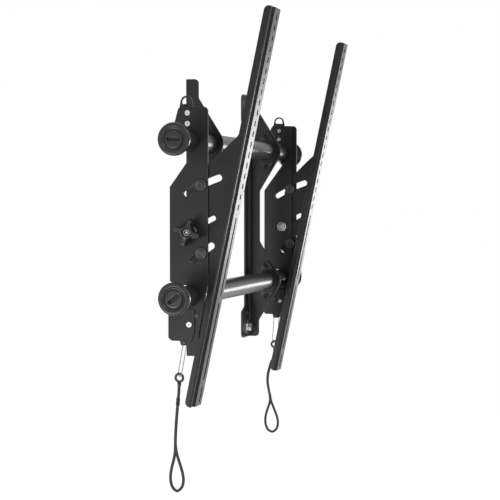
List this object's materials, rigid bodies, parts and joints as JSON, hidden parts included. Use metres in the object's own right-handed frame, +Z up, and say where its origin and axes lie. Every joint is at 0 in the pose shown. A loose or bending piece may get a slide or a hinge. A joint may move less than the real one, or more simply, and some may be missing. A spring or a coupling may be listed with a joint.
{
  "type": "tilting tv wall mount",
  "caption": "Tilting wall mount for a flat screen: tubes on folded brackets carry hook-on hangers, slotted rails that tilt on curved slots, star knobs and cord-pulled latches.",
  "frame": {"origin": "on the wall, midway between the two wall brackets and midway between the two tubes", "axes": "+X along the tubes to the right as seen from the room, +Y into the wall, +Z up"},
  "size_m": [0.7952, 0.1967, 0.8622],
  "materials": {
    "bracket_coat": "satin black powder coat",
    "hanger_coat": "satin black powder coat",
    "rail_coat": "satin black powder coat",
    "tube": "smooth graphite coat",
    "collar_plastic": "matte",
    "cap_plastic": "semi-gloss",
    "knob_plastic": "fine grained",
    "black_screw": "black oxide",
    "zinc": "bright zinc",
    "cord": "braided"
  },
  "bodies": {
    "wall_frame": {"tube_upper": "tube", "tube_lower": "tube", "wall_bracket_left": "bracket_coat", "collar_upper_left": "collar_plastic", "collar_lower_left": "collar_plastic", "collar_screws_left": "black_screw", "anchor_bolts_left": "zinc", "end_cap_upper_left": "cap_plastic", "end_cap_lower_left": "cap_plastic", "wall_bracket_right": "bracket_coat", "collar_upper_right": "collar_plastic", "collar_lower_right": "collar_plastic", "collar_screws_right": "black_screw", "anchor_bolts_right": "zinc", "end_cap_upper_right": "cap_plastic", "end_cap_lower_right": "cap_plastic"},
    "hanger_left": {"hanger_left": "hanger_coat", "guide_plate_left": "hanger_coat", "hanger_rivet_left": "black_screw", "spacer_rivets_left": "zinc", "latch_guide_pin_left": "black_screw", "tension_bolt_left": "zinc", "knob_washer_left": "zinc", "latch_spring_left": "zinc"},
    "tilt_left": {"tilt_rail_left": "rail_coat"},
    "pins_left": {"tilt_pin_upper_left": "black_screw", "tilt_pin_lower_left": "black_screw"},
    "knob_left": {"tension_knob_left": "knob_plastic", "knob_insert_left": "zinc"},
    "latch_left": {"latch_left": "hanger_coat", "latch_rivet_left": "zinc", "pull_pin_left": "zinc", "pull_wire_left": "zinc", "cord_eye_left": "cord", "pull_cord_left": "cord"},
    "hanger_right": {"hanger_right": "hanger_coat", "guide_plate_right": "hanger_coat", "hanger_rivet_right": "black_screw", "spacer_rivets_right": "zinc", "latch_guide_pin_right": "black_screw", "tension_bolt_right": "zinc", "knob_washer_right": "zinc", "latch_spring_right": "zinc"},
    "tilt_right": {"tilt_rail_right": "rail_coat"},
    "pins_right": {"tilt_pin_upper_right": "black_screw", "tilt_pin_lower_right": "black_screw"},
    "knob_right": {"tension_knob_right": "knob_plastic", "knob_insert_right": "zinc"},
    "latch_right": {"latch_right": "hanger_coat", "latch_rivet_right": "zinc", "pull_pin_right": "zinc", "pull_wire_right": "zinc", "cord_eye_right": "cord", "pull_cord_right": "cord"}
  },
  "joints": [
    {"name": "slide_left", "type": "slide", "parent": "wall_frame", "child": "hanger_left", "axis": [1, 0, 0], "range_m": [-0.05, 0.04]},
    {"name": "tilt_left", "type": "hinge", "parent": "hanger_left", "child": "tilt_left", "pos_m": [-0.311, -0.192, -0.215], "axis": [-1, 0, 0], "range_deg": [0, 11]},
    {"name": "pins_left_travel", "type": "hinge", "parent": "hanger_left", "child": "pins_left", "pos_m": [-0.311, -0.192, -0.215], "axis": [-1, 0, 0], "range_deg": [0, 5.6]},
    {"name": "knob_left_turn", "type": "hinge", "parent": "hanger_left", "child": "knob_left", "pos_m": [-0.335, -0.047, -0.024], "axis": [1, 0, 0], "continuous": true},
    {"name": "latch_left_pull", "type": "slide", "parent": "hanger_left", "child": "latch_left", "axis": [0, 0, -1], "range_m": [0, 0.016], "stiffness_N_per_m": 160, "springref_m": -0.02, "deforming": ["latch_spring_left"]},
    {"name": "slide_right", "type": "slide", "parent": "wall_frame", "child": "hanger_right", "axis": [1, 0, 0], "range_m": [-0.04, 0.05]},
    {"name": "tilt_right", "type": "hinge", "parent": "hanger_right", "child": "tilt_right", "pos_m": [0.311, -0.192, -0.215], "axis": [-1, 0, 0], "range_deg": [0, 11]},
    {"name": "pins_right_travel", "type": "hinge", "parent": "hanger_right", "child": "pins_right", "pos_m": [0.311, -0.192, -0.215], "axis": [-1, 0, 0], "range_deg": [0, 5.6]},
    {"name": "knob_right_turn", "type": "hinge", "parent": "hanger_right", "child": "knob_right", "pos_m": [0.335, -0.047, -0.024], "axis": [1, 0, 0], "continuous": true},
    {"name": "latch_right_pull", "type": "slide", "parent": "hanger_right", "child": "latch_right", "axis": [0, 0, -1], "range_m": [0, 0.016], "stiffness_N_per_m": 160, "springref_m": -0.02, "deforming": ["latch_spring_right"]}
  ],
  "couplings": [
    {"joint": "pins_left_travel", "follows": "tilt_left", "ratio": 0.5},
    {"joint": "pins_right_travel", "follows": "tilt_right", "ratio": 0.5}
  ]
}
